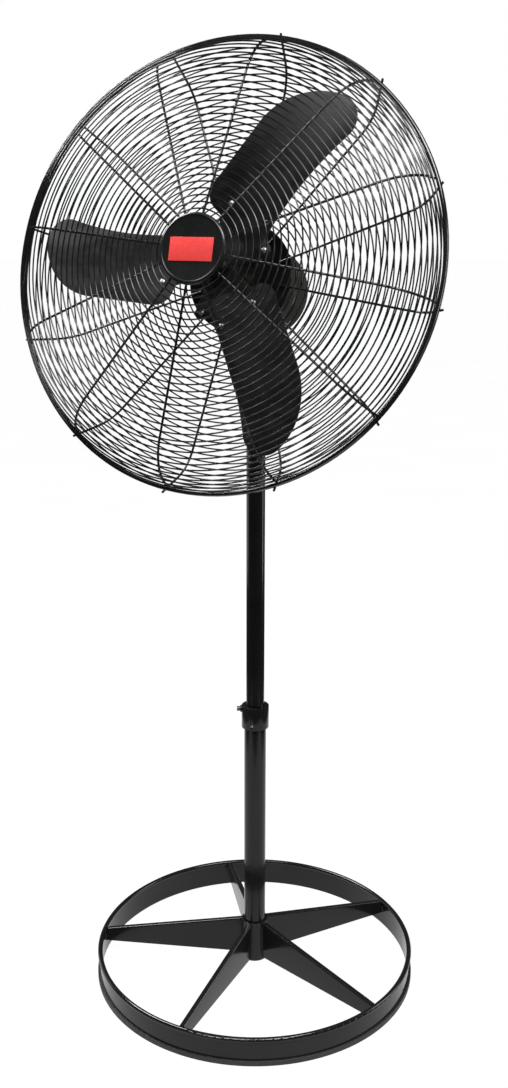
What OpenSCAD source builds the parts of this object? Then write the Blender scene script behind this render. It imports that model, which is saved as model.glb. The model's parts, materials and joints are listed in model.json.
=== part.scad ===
// Three-blade pedestal fan on a spoked ring base with a telescoping pole.
// Millimetres, +Z up, front of the fan towards -Y, origin on the floor under the pole.

/* [Part] */
// which sub-part to draw

/* [Base] */
// radius of the base ring, outside its rolled top bead
base_r = 350; // [280:1:400]
// height of the base ring
base_h = 62; // [45:1:80]
// wall of the ring band
band_t = 3.5; // [2:0.5:6]
// wire diameter of the rolled bead along the ring's top edge
bead_d = 11; // [8:0.5:14]
// height of the rubber strip round the bottom of the ring
strip_h = 11; // [6:0.5:16]
// number of spokes
spokes_n = 5; // [3:1:6]
// direction of the first spoke about the pole, from +X
spoke_phase = -20.4; // [-36:0.1:36]
// width of a spoke's folded top
spoke_w = 12; // [8:0.5:20]
// height of a spoke's lower edge above the floor
spoke_low = 30; // [15:1:40]
// height of the hub socket's top
hub_top = 115; // [90:1:140]
// radius of the hub socket
hub_r = 29; // [27:0.1:34]

/* [Pole] */
// radius of the fixed lower tube
lower_r = 23.3; // [20:0.1:26]
// radius of the sliding upper tube
upper_r = 19; // [16:0.1:20]
// height of the lower tube's top end
lower_top = 610; // [500:1:700]
// height of the upper tube's lower end
upper_low = 330; // [250:1:400]
// radius of the locking collar
collar_r = 29; // [27:0.5:34]
// direction of the collar's clamp screw about the pole
clamp_dir = 203; // [180:1:230]

/* [Head] */
// height of the tilt pivot above the floor
pivot_z = 1385; // [1300:1:1450]
// height of the fan axis above the tilt pivot, square to the axis
axis_h = 108; // [100:1:130]
// upward tilt of the head as it stands
tilt = 16.2; // [0:0.1:30]

/* [Motor] */
// radius of the motor shell
motor_r = 88; // [75:1:90]
// distance of the motor's front face ahead of the pivot
motor_front = 106; // [95:1:112]
// distance of the motor's rear face behind the pivot
motor_rear = -38; // [-60:1:-20]
// radius of the rounded shoulders of the shell
shoulder_r = 22; // [8:1:30]
// radius of the motor shaft
shaft_r = 8; // [6:0.5:10]

/* [Blades] */
// number of blades
blades_n = 3; // [3:1:4]
// direction of the first blade in the face of the fan
blade_phase = 55; // [0:1:119]
// pitch of a blade to the plane of rotation
blade_pitch = 12; // [8:1:30]
// radius that the blade sheet is rolled to
blade_roll = 450; // [250:10:900]
// distance of the blade frame ahead of the pivot
blade_z = 216; // [205:1:225]
// thickness of the blade sheet
blade_t = 1.8; // [1.2:0.1:3]

/* [Guard] */
// outer radius of the guard's rim
guard_r = 419; // [380:1:440]
// distance of the rim plane ahead of the pivot
rim_z = 204; // [190:1:215]
// radius of the two heavy rim wires
rim_wire_r = 3.5; // [2.5:0.1:4.5]
// radius of the radial rib wires
rib_wire_r = 2.2; // [1.5:0.1:3]
// radius of the ring wires
ring_wire_r = 1.4; // [1:0.1:2]
// spacing of the ring wires along the front ribs
ring_pitch = 12.4; // [10:0.1:20]
// number of ribs on each half of the guard
ribs_n = 12; // [8:1:18]
// direction of the first rib in the face of the fan
rib_phase = 21; // [0:0.5:29]
// radius of the front badge cap
cap_r = 63; // [50:1:80]
// width and height of the plain badge panel
badge = [83, 41.5];

/* [Hidden] */
$fa = 4;
$fs = 0.6;
eps = 0.05;                       // gap left between welded or pressed faces of one body
fit = 0.05;                       // radial clearance of a running fit
steel = "#17181a";
zinc = "#b9bcc0";
lower_in = lower_r - 2.2;
upper_in = upper_r - 2;
band_r = base_r - bead_d / 2 + band_t / 2;
spoke_out = band_r - band_t - eps;
spoke_top_out = base_h - 3;
tube_seat = 27;                   // height of the plate that the lower tube stands on
upper_top = pivot_z - 35;
turret_h = 58;                    // length of the swivel sleeve
ear_r = 16;                       // rounding radius of the clevis ears
ear_gap = 13.5;                   // half the gap between the ears
ear_t = 6;
set_r = 2.6;                      // set screws of the collar
bolt_r = 6;                       // tilt bolt
shell_t = 4;
shell_in = motor_r - shell_t;
seam_z = 41;                      // plane where the two motor bells meet
stator_r = shell_in - eps;
stator_z = [8, 78];
rotor_gap = 0.6;
rotor_core_r = 48;
bearing_r = 17.5;
bearing_w = 11;
dial_y = 44;                      // height of the speed knob over the fan axis
inlet_at = [-38, -28];            // cord inlet on the rear bell
inlet_r = 7;
front_bearing_z = motor_front - shell_t - bearing_w;
rear_bearing_z = motor_rear + shell_t;
rim_mid_r = guard_r - rim_wire_r; // centre line of the rim wires
rim_gap = 4;                      // distance of each rim wire from the rim plane
to_rim = rib_wire_r + rim_wire_r + eps;                 // a rib's centre to the rim wire it is welded to
front_bend = 95;                  // bend radius of the front ribs
rear_bend = 72;                   // bend radius of the rear ribs
front_slope = 7.4;                // dish of the front face in degrees
rear_slope = 2;
rear_lean = 35;                   // lean of the rear ribs where they pass outside the rim
front_in = 50;                    // radius where the front ribs begin, behind the cap
rear_in = 82;                     // radius where the rear ribs begin, on the mounting plate
front_mid_z = -17.3;              // centre of the front bend, ahead of the rim plane
rear_mid_z = 8;                   // centre of the rear bend, behind the rim plane
front_touch = asin((rim_gap - front_mid_z) / (front_bend + to_rim));
front_mid = [rim_mid_r - (front_bend + to_rim) * cos(front_touch), front_mid_z];
rear_reach = rear_bend - to_rim - (rim_gap - rear_mid_z) * sin(rear_lean);
rear_mid = [rim_mid_r - rear_reach / cos(rear_lean), rear_mid_z];
front_side = 2.5;                 // straight ends of the ribs past their bends
rear_side = (rim_mid_r - rear_mid[0]) * sin(rear_lean) - (rim_gap - rear_mid_z) * cos(rear_lean) + 7;
lap = 0.4;                        // overlap of a straight wire run into a bend
draw = 0.03;                      // how much thinner a straight run is than a bend
ring_out = rib_wire_r + ring_wire_r + eps;              // rings lie on the outside of the ribs
front_flat = (front_mid[0] + front_bend * sin(front_slope) - front_in) / cos(front_slope);
rear_flat = (rear_mid[0] + rear_bend * sin(rear_slope) - rear_in) / cos(rear_slope);
front_arc = front_bend * (90 - front_slope - front_touch) * PI / 180;
rear_arc = rear_bend * (90 - rear_slope - rear_lean) * PI / 180;
front_in_z = front_mid_z + front_bend * cos(front_slope) + front_flat * sin(front_slope);
rear_in_z = -rear_mid_z - rear_bend * cos(rear_slope) - rear_flat * sin(rear_slope);
plate_z = rim_z + rear_in_z - rib_wire_r - eps;         // front face of the guard's mounting plate
stud_at = 52;                     // radius of the four guard screws
front_start = 21;                 // first ring's distance along the rib from its inner end
rear_start = 30;
rear_pitch = 12.6;                // spacing of the rear rings
front_face_n = 22;                // rings on the face of the front half
pair_gap = 7;                     // gap from the last of them to the first ring of the bend
bend_pitch = 11;                  // closer spacing of the rings round the front bend
front_bend_start = front_start + (front_face_n - 1) * ring_pitch + pair_gap;
front_bend_n = floor((front_flat + front_arc - 6 - front_bend_start) / bend_pitch) + 1;
front_rings_n = front_face_n + front_bend_n;
rear_rings_n = floor((rear_flat + rear_arc + rear_side - 46) / rear_pitch);
front_inner_n = 16;               // rings counted as the inner set on each half
rear_inner_n = 14;
cap_t = 8;
cap_edge = 3;                     // rounding of the cap's front edge
face_drop = 1.2;                  // depth of the cap's face inside its raised rim
plate_back = rim_z + front_in_z - rib_wire_r - 1.2;     // front face of the plate behind the cap
badge_at = [-1, -2];              // centre of the badge panel on the cap
cap_z = rim_z + front_in_z + ring_out + ring_wire_r - 2;
roll_mid = 45;                    // place across a blade where the rolled sheet is deepest
rivets = [[98, 47], [111, -27], [72, -56]];             // along and across a blade
arm_t = 3;                        // thickness of the hub's blade arms
knob_n = 6;                       // lobes of the hand knobs

// ---------- placement helpers ----------

// the head's own frame: origin at the tilt pivot, tilted as the fan stands
module head_pose() {
    translate([0, 0, pivot_z]) rotate([-tilt, 0, 0]) children();
}

// inside the head: +Z runs forward along the fan axis, +Y up, +X to the right seen from the front
module on_axis() {
    head_pose() translate([0, 0, axis_h]) rotate([90, 0, 0]) children();
}

module around(n, phase = 0) {
    for (i = [0 : n - 1]) rotate([0, 0, phase + 360 * i / n]) children();
}

// a tube standing on z0
module pipe(r_out, r_in, z0, z1) {
    difference() {
        translate([0, 0, z0]) cylinder(r = r_out, h = z1 - z0);
        translate([0, 0, z0 - 1]) cylinder(r = r_in, h = z1 - z0 + 2);
    }
}

module disc(r, z0, z1) {
    translate([0, 0, z0]) cylinder(r = r, h = z1 - z0);
}

// a closed wire ring in the XY plane
module hoop(r, wire, z) {
    translate([0, 0, z]) rotate_extrude() translate([r, 0]) circle(r = wire);
}

// a hand knob along +Z: lobed head over a round boss
module lobed_knob(r, h) {
    disc(r * 0.8, 0, h);
    around(knob_n) translate([r * 0.72, 0, h * 0.3]) cylinder(r = r * 0.28, h = h * 0.7);
}

// ---------- base ----------

module base_ring() {
    color(steel) union() {
        pipe(band_r, band_r - band_t, 0, base_h - bead_d / 2);
        hoop(base_r - bead_d / 2, bead_d / 2, base_h - bead_d / 2);
    }
}

module floor_strip() {
    color("#1c1c1c") pipe(base_r + 1, band_r + eps, 0, strip_h);
}

// one spoke: an upside-down folded channel, deep at the hub and shallow at the ring
module spoke() {
    wall = 2.5;
    difference() {
        rotate([90, 0, 0]) translate([0, 0, -spoke_w / 2]) linear_extrude(spoke_w)
            polygon([[hub_r + eps, spoke_low], [spoke_out, spoke_low],
                [spoke_out, spoke_top_out], [hub_r + eps, hub_top - 1]]);
        rotate([90, 0, 0]) translate([0, 0, -spoke_w / 2 + wall]) linear_extrude(spoke_w - 2 * wall)
            polygon([[hub_r - 1, spoke_low - 1], [spoke_out + 1, spoke_low - 1],
                [spoke_out + 1, spoke_top_out - wall], [hub_r - 1, hub_top - 1 - wall]]);
        disc(hub_r + eps, 0, hub_top + 1);
    }
}

module spokes() {
    color(steel) difference() {
        around(spokes_n, spoke_phase) spoke();
        hoop(base_r - bead_d / 2, bead_d / 2 + eps, base_h - bead_d / 2);
    }
}

module hub_socket() {
    color(steel) pipe(hub_r, lower_r + eps, tube_seat - 5, hub_top);
}

module tube_seat_plate() {
    color(steel) pipe(lower_r, 5.3, tube_seat - 5, tube_seat);
}

// bolt up through the seat plate into the welded nut plug of the lower tube
module base_bolt() {
    color(zinc) {
        disc(5, tube_seat - 5, tube_seat + 14);
        disc(11, tube_seat - 7, tube_seat - 5);
        translate([0, 0, tube_seat - 13.4]) cylinder(r = 9.2, h = 6.4, $fn = 6);
    }
}

module lower_tube() {
    color(steel) difference() {
        disc(lower_r, tube_seat + eps, lower_top);
        disc(lower_in, tube_seat + 12, lower_top + 1);
        disc(5 + eps, tube_seat - 1, tube_seat + 13);
    }
}

// nylon bush that guides the upper tube in the top of the lower one
module guide_bush() {
    color("#2a2a2a") pipe(lower_in - eps, upper_r + fit, lower_top - 50, lower_top);
}

module clamp_pose() {
    translate([0, 0, lower_top + 8]) rotate([0, 0, clamp_dir]) rotate([0, 90, 0]) children();
}

// three set screws hold the collar to the lower tube
module set_screw_pose() {
    around(3, -81) translate([0, 0, lower_top - 22]) rotate([0, 90, 0]) children();
}

module collar() {
    screw_pass = 4.4;
    color(steel) difference() {
        union() {
            disc(collar_r, lower_top - 32, lower_top + 16);
            intersection() {
                clamp_pose() disc(7.5, 20, collar_r + 3);
                disc(collar_r + 10, lower_top - 10, lower_top + 16);
            }
        }
        disc(lower_r + eps, lower_top - 33, lower_top + eps);
        disc(upper_r + 0.4, lower_top - 1, lower_top + 17);
        clamp_pose() disc(screw_pass, 10, collar_r + 6);
        set_screw_pose() disc(set_r + eps, lower_r - 1, collar_r + 1);
    }
}

module collar_screws() {
    color(zinc) set_screw_pose() disc(set_r, lower_r + 0.3, collar_r + 0.8);
}

module clamp_screw() {
    color("#3a3c3e") clamp_pose() union() {
        disc(4, upper_r + 0.6, collar_r + 4);
        disc(5.2, collar_r + 3.4, collar_r + 10);
    }
}

module upper_tube() {
    color(steel) pipe(upper_r, upper_in, upper_low, upper_top);
}

// nylon foot on the lower end of the upper tube, sliding inside the lower tube
module tube_glide() {
    color("#2a2a2a") union() {
        disc(lower_in - 0.08, upper_low - 12, upper_low - eps);
        disc(upper_in - eps, upper_low - 1, upper_low + 22);
    }
}

// ---------- swivel and tilt mount ----------

module swivel_pose() {
    translate([0, 0, upper_top - turret_h / 2]) rotate([-90, 0, 0]) children();
}

module swivel_socket() {
    sleeve_r = 24;
    color(steel) difference() {
        union() {
            disc(sleeve_r, upper_top - turret_h, upper_top + 6);
            swivel_pose() disc(8.5, 15, sleeve_r + 6);
        }
        disc(upper_r + fit, upper_top - turret_h - 1, upper_top + eps);
        swivel_pose() disc(4.4, 12, sleeve_r + 8);
    }
}

module ear() {
    z0 = upper_top + 6 + eps;
    difference() {
        union() {
            translate([0, -ear_r, z0]) cube([ear_t, 2 * ear_r, pivot_z - z0]);
            translate([0, 0, pivot_z]) rotate([0, 90, 0]) cylinder(r = ear_r, h = ear_t);
        }
        translate([-1, 0, pivot_z]) rotate([0, 90, 0]) cylinder(r = bolt_r + eps, h = ear_t + 2);
    }
}

module clevis_ears() {
    color(steel) {
        translate([ear_gap, 0, 0]) ear();
        translate([-ear_gap - ear_t, 0, 0]) ear();
    }
}

module across_pivot() {
    translate([0, 0, pivot_z]) rotate([0, 90, 0]) children();
}

module tilt_bolt() {
    out = ear_gap + ear_t;
    color(zinc) across_pivot() union() {
        disc(bolt_r, -out, out + 20);
        translate([0, 0, -out - 7]) cylinder(r = 10.4, h = 7, $fn = 6);
    }
}

// plain washer under the hand knob
module tilt_washer() {
    out = ear_gap + ear_t;
    color(zinc) across_pivot() pipe(12, bolt_r + eps, out + eps, out + 2);
}

module tilt_knob() {
    out = ear_gap + ear_t;
    color("#161616") across_pivot() difference() {
        translate([0, 0, out + 2.4]) lobed_knob(17, 24);
        disc(bolt_r + fit, out, out + 21);
    }
}

module swivel_screw() {
    color("#161616") swivel_pose() union() {
        disc(4, upper_r + 0.6, 32);
        translate([0, 0, 31]) lobed_knob(15, 17);
    }
}

// ---------- motor ----------

// welded under the shell: a curved pad with the lug that tilts between the ears
module motor_foot() {
    pad_w = 50;
    lug_w = 2 * ear_gap - 1;
    pad_low = axis_h - motor_r - 3;
    color(steel) head_pose() difference() {
        union() {
            translate([-lug_w / 2, 0, 0]) rotate([0, 90, 0]) cylinder(r = 14, h = lug_w);
            translate([-lug_w / 2, -62, 8]) cube([lug_w, 72, 26]);
            translate([-pad_w / 2, -72, pad_low]) cube([pad_w, 88, 14]);
        }
        translate([0, 40, axis_h]) rotate([90, 0, 0]) cylinder(r = motor_r + eps, h = 140);
        translate([-lug_w, 0, 0]) rotate([0, 90, 0]) cylinder(r = bolt_r + fit, h = 2 * lug_w);
    }
}

// half section of a cup with a rounded shoulder, closed at z1
module bell_section(r, z0, z1, shoulder) {
    translate([0, z0]) square([r, z1 - z0 - shoulder]);
    translate([0, z1 - shoulder - 0.01]) square([r - shoulder, shoulder + 0.01]);
    intersection() {
        translate([r - shoulder, z1 - shoulder]) circle(r = shoulder, $fn = 96);
        translate([0, z0]) square([r + 1, z1 - z0 + 1]);
    }
}

module bell(z0, z1) {
    difference() {
        rotate_extrude() bell_section(motor_r, z0, z1, shoulder_r);
        rotate_extrude() bell_section(shell_in, z0 - 1, z1 - shell_t, shoulder_r - shell_t);
    }
}

// holes for the screws that join the two bells
module seam_holes() {
    around(4, 45) translate([shell_in - 2, 0, seam_z + 3]) rotate([0, 90, 0]) cylinder(r = 1.8, h = 12);
}

module front_bell() {
    color("#202224") on_axis() difference() {
        union() {
            bell(seam_z, motor_front);
            pipe(bearing_r + 5, bearing_r + eps, front_bearing_z, motor_front - shell_t / 2);
        }
        disc(shell_in + 2.1, seam_z - 1, seam_z + 6);
        disc(shaft_r + 1, motor_front - 20, motor_front + 1);
        seam_holes();
    }
}

module rear_bell() {
    color("#202224") on_axis() difference() {
        union() {
            translate([0, 0, seam_z]) mirror([0, 0, 1]) bell(0, seam_z - motor_rear);
            pipe(shell_in + 2, shell_in, seam_z - 2, seam_z + 5.5);
            pipe(bearing_r + 5, bearing_r + eps, motor_rear + shell_t / 2, rear_bearing_z + bearing_w);
        }
        seam_holes();
        translate([0, dial_y, motor_rear - 1]) cylinder(r = 4.6, h = 10);
        translate([inlet_at[0], inlet_at[1], motor_rear - 1]) cylinder(r = inlet_r + eps, h = 10);
    }
}

module shell_screws() {
    color(zinc) on_axis() around(4, 45) translate([0, 0, seam_z + 3]) rotate([0, 90, 0]) union() {
        disc(1.7, shell_in + 0.4, motor_r + 1);
        disc(3.6, motor_r + 0.3, motor_r + 2.2);
    }
}

module stator_core() {
    color("#6d7176") on_axis() pipe(stator_r, rotor_core_r + rotor_gap, stator_z[0], stator_z[1]);
}

module windings() {
    color("#b4662d") on_axis() {
        pipe(74, 54, stator_z[1] + eps, stator_z[1] + 13);
        pipe(74, 54, stator_z[0] - 14, stator_z[0] - eps);
    }
}

module bearing(z0) {
    pipe(bearing_r, shaft_r + fit, z0, z0 + bearing_w);
}

module front_bearing() {
    color("#c8cacc") on_axis() bearing(front_bearing_z - eps);
}

module rear_bearing() {
    color("#c8cacc") on_axis() bearing(rear_bearing_z + eps);
}

module capacitor() {
    color("#4a4d50") on_axis() translate([-28, -62, motor_rear + shell_t + 1]) cube([56, 20, 20]);
}

module speed_switch() {
    color("#222222") on_axis() translate([-15, 29.5, motor_rear + shell_t + eps]) cube([30, 29, 18]);
}

module speed_knob() {
    color("#161616") on_axis() translate([0, dial_y, motor_rear]) mirror([0, 0, 1]) union() {
        disc(4, -3.5, 2);
        disc(15, 1, 5);
        disc(12, 4, 16);
        translate([-2.2, -13.5, 8]) cube([4.4, 27, 11]);
    }
}

// strain-relief gland where the supply cord enters the rear bell
module cord_inlet() {
    color("#1a1a1a") on_axis() translate([inlet_at[0], inlet_at[1], motor_rear]) difference() {
        union() {
            disc(inlet_r, -3.8, 1);
            translate([0, 0, -5]) cylinder(r = 11, h = 5 - eps, $fn = 6);
            translate([0, 0, -16]) cylinder(r1 = 6.5, r2 = 8.5, h = 11.5);
        }
        disc(3.7, -17, 2);
    }
}

// ---------- rotor ----------

module shaft() {
    color("#c8cacc") on_axis() disc(shaft_r, rear_bearing_z + 0.4, blade_z + 32);
}

module rotor_core() {
    color("#7b7e82") on_axis() pipe(rotor_core_r, shaft_r + eps, stator_z[0], stator_z[1]);
}

// the rolled sheet that blades and hub arms are cut from; its concave face looks forward
module rolled(layer, t) {
    reach = 420;
    translate([-10, roll_mid, blade_roll]) rotate([0, 90, 0]) difference() {
        cylinder(r = blade_roll + layer, h = reach, $fn = 360);
        translate([0, 0, -1]) cylinder(r = blade_roll + layer - t, h = reach + 2, $fn = 360);
    }
}

// points along an arc round c, from angle a0 up to but not at a1
function arc_points(c, r, a0, a1, n) = [for (i = [0 : n - 1])
    let (a = a0 + (a1 - a0) * i / n)
    c + r * [cos(a), sin(a)]];

// rounded tip corner, long bowed trailing edge, hollow leading edge, and a lobe for the inner rivet
module blade_outline() {
    tip = [322, -8];
    tip_r = 42;
    trail = [236, -38];
    lead_top = [185, -36];
    notch_x = 88;
    root_r = 33;
    over = tip - lead_top;
    lead_r = (over * over - tip_r * tip_r) / (2 * (tip_r - over[1]));
    lead = [lead_top[0], lead_top[1] - lead_r];
    start = 90 + asin((lead_top[0] - notch_x) / lead_r);
    low = atan2(tip[1] - lead[1], tip[0] - lead[0]);
    high = atan2(tip[1] - trail[1], tip[0] - trail[0]);
    trail_r = tip_r + norm(tip - trail);
    root = [105, trail[1] + trail_r - root_r];
    polygon(concat(
        arc_points(lead, lead_r, start, low, 24),
        arc_points(tip, tip_r, low - 180, high, 30),
        arc_points(trail, trail_r, high, 90, 24),
        arc_points(root, root_r, 90, 180, 16),
        [[72, root[1]], [64, 20], [56, -20], [60, -56], [84, -56]]));
    translate(rivets[2]) circle(r = 12, $fn = 48);
}

module arm_outline() {
    polygon([[14, -24], [56, -60], [64, -66], [78, -66], [84, -58], [86, -43], [112, -38], [122, -30],
        [122, -16], [110, 52], [102, 60], [90, 58], [14, 24]]);
}

module blade_pose() {
    around(blades_n, blade_phase) translate([0, 0, blade_z]) rotate([blade_pitch, 0, 0]) children();
}

module blades() {
    color("#1b1c1e") on_axis() blade_pose() intersection() {
        rolled(0, blade_t);
        translate([0, 0, -30]) linear_extrude(120) blade_outline();
    }
}

module blade_hub() {
    color("#26282a") on_axis() difference() {
        union() {
            disc(24, blade_z - 30, blade_z + 26);
            blade_pose() intersection() {
                rolled(arm_t + eps, arm_t);
                translate([0, 0, -30]) linear_extrude(120) arm_outline();
            }
        }
        disc(shaft_r + eps, blade_z - 40, blade_z + 40);
        translate([0, 0, blade_z - 22]) rotate([0, 90, 0]) disc(3.05, 0, 30);
    }
}

module blade_rivets() {
    face = blade_roll - blade_t;
    color(zinc) on_axis() blade_pose() for (p = rivets)
        translate([p[0], roll_mid, blade_roll]) rotate([asin((p[1] - roll_mid) / face), 0, 0])
            translate([0, 0, 2 * eps - face]) cylinder(r1 = 5, r2 = 3.2, h = 2);
}

module hub_screw() {
    color(zinc) on_axis() translate([0, 0, blade_z - 22]) rotate([0, 90, 0]) disc(3, shaft_r + 0.3, 24.5);
}

// ---------- guard ----------

// a quarter or less of a wire bend in the XZ plane, from +X towards +Z
module wire_bend(bend, angle) {
    rotate([90, 0, 0]) rotate_extrude(angle = angle) translate([bend, 0]) circle(r = rib_wire_r);
}

// a straight wire along +Z, a hair thinner than a bend and lapping into its end
module wire_run(length) {
    translate([0, 0, -lap]) cylinder(r = rib_wire_r - draw, h = length + lap);
}

// a rib in the XZ half plane: flat run, bend down to the angle low, straight end; forward is +Z
module rib(mid, flat, bend, slope, low, side) {
    translate([mid[0], 0, mid[1]]) rotate([0, -low, 0]) wire_bend(bend, 90 - slope - low);
    translate([mid[0] + bend * sin(slope), 0, mid[1] + bend * cos(slope)])
        rotate([0, -90 + slope, 0]) wire_run(flat);
    translate([mid[0] + bend * cos(low), 0, mid[1] + bend * sin(low)])
        rotate([0, -low, 0]) mirror([0, 0, 1]) wire_run(side);
}

// ring centre on the outside of a rib, a distance s out from its inner end: [radius, height]
function ring_at(s, r_in, z_in, mid, flat, bend, slope, low) =
    let (a = 90 - slope - (s - flat) / bend * 180 / PI, past = (low - a) * bend * PI / 180)
    s <= flat
        ? [r_in + s * cos(slope) + ring_out * sin(slope), z_in - s * sin(slope) + ring_out * cos(slope)]
        : a >= low ? mid + (bend + ring_out) * [cos(a), sin(a)]
        : mid + (bend + ring_out) * [cos(low), sin(low)] + past * [sin(low), -cos(low)];

module front_ribs() {
    color(steel) on_axis() translate([0, 0, rim_z]) around(ribs_n, rib_phase + 1.3)
        rib(front_mid, front_flat, front_bend, front_slope, front_touch, front_side);
}

// front ring wires number first to last, counted outwards from the cap
module front_hoops(first, last) {
    color(steel) on_axis() translate([0, 0, rim_z]) for (i = [first : last]) {
        s = i < front_face_n
            ? front_start + i * ring_pitch
            : front_bend_start + (i - front_face_n) * bend_pitch;
        p = ring_at(s, front_in, front_in_z, front_mid, front_flat, front_bend, front_slope, front_touch);
        hoop(p[0], ring_wire_r, p[1]);
    }
}

module front_inner_rings() {
    front_hoops(0, front_inner_n - 1);
}

module front_outer_rings() {
    front_hoops(front_inner_n, front_rings_n - 1);
}

module front_rim() {
    color(steel) on_axis() hoop(guard_r - rim_wire_r, rim_wire_r, rim_z + rim_gap);
}

module rear_rim() {
    color(steel) on_axis() hoop(guard_r - rim_wire_r, rim_wire_r, rim_z - rim_gap);
}

// the rear ribs pass behind and outside their rim wire and end just beyond it
module rear_ribs() {
    color(steel) on_axis() translate([0, 0, rim_z]) around(ribs_n, rib_phase) mirror([0, 0, 1])
        rib(rear_mid, rear_flat, rear_bend, rear_slope, rear_lean, rear_side);
}

// rear ring wires number first to last, counted outwards from the mounting plate
module rear_hoops(first, last) {
    color(steel) on_axis() translate([0, 0, rim_z]) for (i = [first : last]) {
        s = rear_start + i * rear_pitch;
        p = ring_at(s, rear_in, -rear_in_z, rear_mid, rear_flat, rear_bend, rear_slope, rear_lean);
        hoop(p[0], ring_wire_r, -p[1]);
    }
}

module rear_inner_rings() {
    rear_hoops(0, rear_inner_n - 1);
}

module rear_outer_rings() {
    rear_hoops(rear_inner_n, rear_rings_n - 1);
}

module guard_plate() {
    color(steel) on_axis() difference() {
        union() {
            disc(104, plate_z - 2.5, plate_z);
            around(4, 45) translate([stud_at, 0, 0]) disc(7, motor_front + eps, plate_z - 2);
        }
        disc(30, plate_z - 5, plate_z + 1);
        around(4, 45) translate([stud_at, 0, 0]) disc(2.7, motor_front - 1, plate_z + 1);
    }
}

module guard_plate_screws() {
    color(zinc) on_axis() around(4, 45) translate([stud_at, 0, 0]) union() {
        disc(2.5, motor_front + 0.3, plate_z + 1);
        disc(5, plate_z + eps, plate_z + 3.2);
    }
}

// disc behind the cap that the front ribs are welded to
module front_plate() {
    color(steel) on_axis() disc(58, plate_back - 2, plate_back);
}

module cap() {
    color("#141517") on_axis() difference() {
        rotate_extrude() union() {
            translate([0, cap_z]) square([cap_r - cap_edge, cap_t]);
            translate([0, cap_z]) square([cap_r, cap_t - cap_edge]);
            translate([cap_r - cap_edge, cap_z + cap_t - cap_edge]) circle(r = cap_edge, $fn = 48);
        }
        disc(cap_r - 5, cap_z + cap_t - face_drop, cap_z + cap_t + 1);
    }
}

module cap_screws() {
    color(zinc) on_axis() for (x = [-36, 36]) translate([x, 0, 0]) union() {
        disc(2, plate_back + eps, cap_z - eps);
        disc(4, plate_back - 4.5, plate_back - 2 - eps);
    }
}

module badge_panel() {
    face = cap_z + cap_t - face_drop + eps;
    color("#e32f3a") on_axis() translate([badge_at[0] - badge[0] / 2, badge_at[1] - badge[1] / 2, face])
        cube([badge[0], badge[1], 1]);
}

// ---------- assembly ----------

base_ring();
floor_strip();
spokes();
hub_socket();
tube_seat_plate();
base_bolt();
lower_tube();
guide_bush();
collar();
collar_screws();
clamp_screw();
upper_tube();
tube_glide();
swivel_socket();
clevis_ears();
tilt_bolt();
tilt_washer();
tilt_knob();
swivel_screw();
motor_foot();
front_bell();
rear_bell();
shell_screws();
stator_core();
windings();
front_bearing();
rear_bearing();
capacitor();
speed_switch();
speed_knob();
cord_inlet();
shaft();
rotor_core();
blade_hub();
blades();
blade_rivets();
hub_screw();
guard_plate();
guard_plate_screws();
rear_ribs();
rear_inner_rings();
rear_outer_rings();
rear_rim();
front_rim();
front_ribs();
front_inner_rings();
front_outer_rings();
front_plate();
cap();
cap_screws();
badge_panel();
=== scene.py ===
import json
import math

import bmesh
import bpy
import numpy as np
from mathutils import Matrix, Vector


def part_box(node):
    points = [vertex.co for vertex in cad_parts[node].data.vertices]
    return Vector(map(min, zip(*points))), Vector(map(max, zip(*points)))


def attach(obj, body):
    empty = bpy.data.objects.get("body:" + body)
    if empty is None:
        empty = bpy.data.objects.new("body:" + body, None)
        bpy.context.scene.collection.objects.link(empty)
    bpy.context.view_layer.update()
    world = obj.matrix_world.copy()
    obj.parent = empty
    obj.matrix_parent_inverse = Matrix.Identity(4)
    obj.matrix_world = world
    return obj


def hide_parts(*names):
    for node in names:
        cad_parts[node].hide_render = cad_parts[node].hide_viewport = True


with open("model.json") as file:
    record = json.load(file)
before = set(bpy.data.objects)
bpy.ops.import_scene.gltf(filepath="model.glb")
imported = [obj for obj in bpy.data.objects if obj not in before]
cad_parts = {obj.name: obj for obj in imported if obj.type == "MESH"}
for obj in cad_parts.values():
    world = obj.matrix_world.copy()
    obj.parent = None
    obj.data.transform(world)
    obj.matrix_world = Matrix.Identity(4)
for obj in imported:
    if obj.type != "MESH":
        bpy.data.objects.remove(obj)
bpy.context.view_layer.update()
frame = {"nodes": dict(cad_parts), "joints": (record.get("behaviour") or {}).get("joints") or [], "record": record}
NODES = frame["nodes"]
JOINTS = {j["name"]: j for j in frame["joints"]}
RECORD = frame["record"]
SLOT_OF = {s["node"]: s["material_slot"] for s in RECORD["subparts"]}
BODY_OF = {n: b for b, members in RECORD["behaviour"]["bodies"].items() for n in members}
MM = 0.001


# ---------- frames of reference, all taken from the joints ----------

def basis(x, y, z, origin):
    """The place whose axes are x, y and z."""
    rows = [(x[i], y[i], z[i], origin[i]) for i in range(3)]
    return Matrix((*rows, (0, 0, 0, 1)))


def fan_frame():
    """Origin on the fan axis abreast of the tilt pivot; +Z forward along the axis, +Y up, +X unchanged."""
    forward = Vector(JOINTS["fan_spin"]["axis"]).normalized()
    side = Vector((1, 0, 0))
    up = forward.cross(side)
    pivot = Vector(JOINTS["head_tilt"]["pos_m"])
    reach = Vector(JOINTS["fan_spin"]["pos_m"]) - pivot
    return basis(side, up, forward, pivot + up * reach.dot(up))


def along(origin, axis, up_hint=Vector((0, 0, 1))):
    """A frame whose +Z runs along axis."""
    z = Vector(axis).normalized()
    x = up_hint.cross(z).normalized()
    return basis(x, z.cross(x), z, Vector(origin))


FAN = fan_frame()
FAN_INV = FAN.inverted()


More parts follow.
